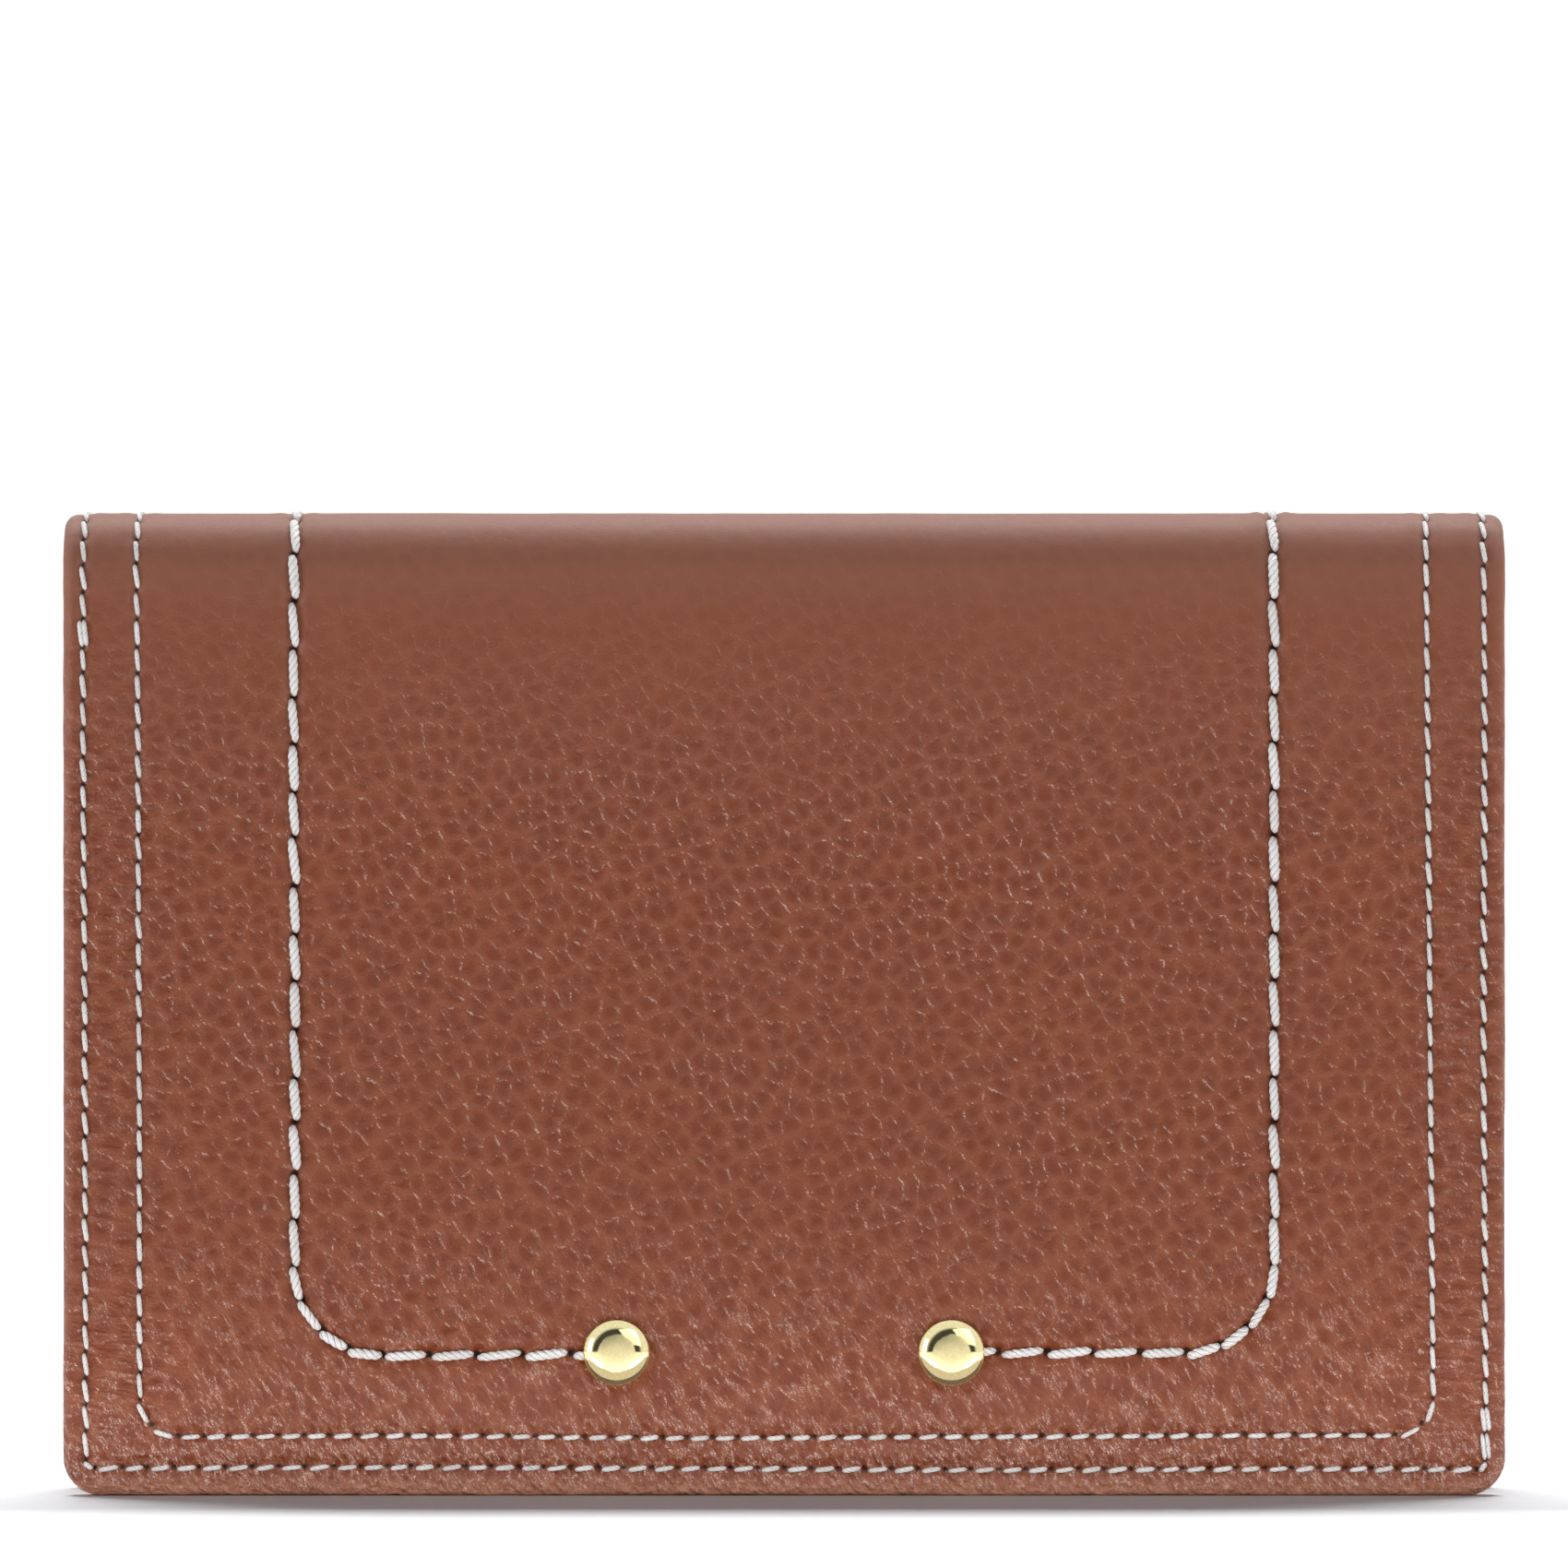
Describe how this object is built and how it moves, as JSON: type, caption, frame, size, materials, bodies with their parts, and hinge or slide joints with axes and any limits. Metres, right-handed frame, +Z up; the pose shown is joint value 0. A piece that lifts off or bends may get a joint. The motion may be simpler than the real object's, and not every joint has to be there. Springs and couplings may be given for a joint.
{
  "type": "folding card holder",
  "caption": "Folding leather card holder with stiffened covers, staggered card slots, a slip pocket, contrast stitching and two domed rivets.",
  "frame": {"origin": "bottom centre of the closed holder's box: the middle of the opening edge that it stands on, halfway between the rivets' crowns and the back cover", "axes": "+X along the fold, +Z up from the opening edge to the fold, +Y towards the back cover; the front cover with the rivets faces -Y"},
  "size_m": [0.11, 0.0138, 0.075],
  "materials": {
    "cover_leather": "satin",
    "pocket_leather": "satin",
    "lining": "matte",
    "panel_fabric": "matte",
    "filler": "matte",
    "board": "matte",
    "thread_fine": "satin",
    "thread_heavy": "satin",
    "brass": "polished"
  },
  "bodies": {
    "back": {"back_cover_leather": "cover_leather", "back_board": "board", "back_lining": "lining", "back_slip_pocket_fillers": "filler", "back_base_panel": "panel_fabric", "back_upper_pocket": "pocket_leather", "back_upper_pocket_fillers": "filler", "back_lower_pocket": "pocket_leather", "back_lower_pocket_fillers": "filler", "back_mouth_stitching": "thread_fine", "back_outer_stitching": "thread_fine", "back_inner_stitching": "thread_fine", "back_heavy_stitching": "thread_heavy"},
    "spine": {"spine_leather": "cover_leather", "spine_reinforcement": "board", "spine_lining": "lining", "spine_outer_stitching": "thread_fine", "spine_inner_stitching": "thread_fine", "spine_heavy_stitching": "thread_heavy"},
    "front": {"front_cover_leather": "cover_leather", "front_board": "board", "front_lining": "lining", "front_base_panel": "panel_fabric", "front_upper_pocket": "pocket_leather", "front_upper_pocket_fillers": "filler", "front_lower_pocket": "pocket_leather", "front_lower_pocket_fillers": "filler", "front_mouth_stitching": "thread_fine", "front_outer_stitching": "thread_fine", "front_inner_stitching": "thread_fine", "front_heavy_stitching": "thread_heavy", "rivet_caps": "brass", "rivet_posts": "brass"}
  },
  "joints": [
    {"name": "back_fold", "type": "hinge", "parent": "back", "child": "spine", "pos_m": [0, 0.00588, 0.07403], "axis": [-1, 0, 0], "range_deg": [0, 90]},
    {"name": "front_fold", "type": "hinge", "parent": "spine", "child": "front", "pos_m": [0, -0.00458, 0.07403], "axis": [-1, 0, 0], "range_deg": [0, 90]}
  ],
  "couplings": [
    {"joint": "back_fold", "follows": "front_fold", "ratio": 1}
  ]
}
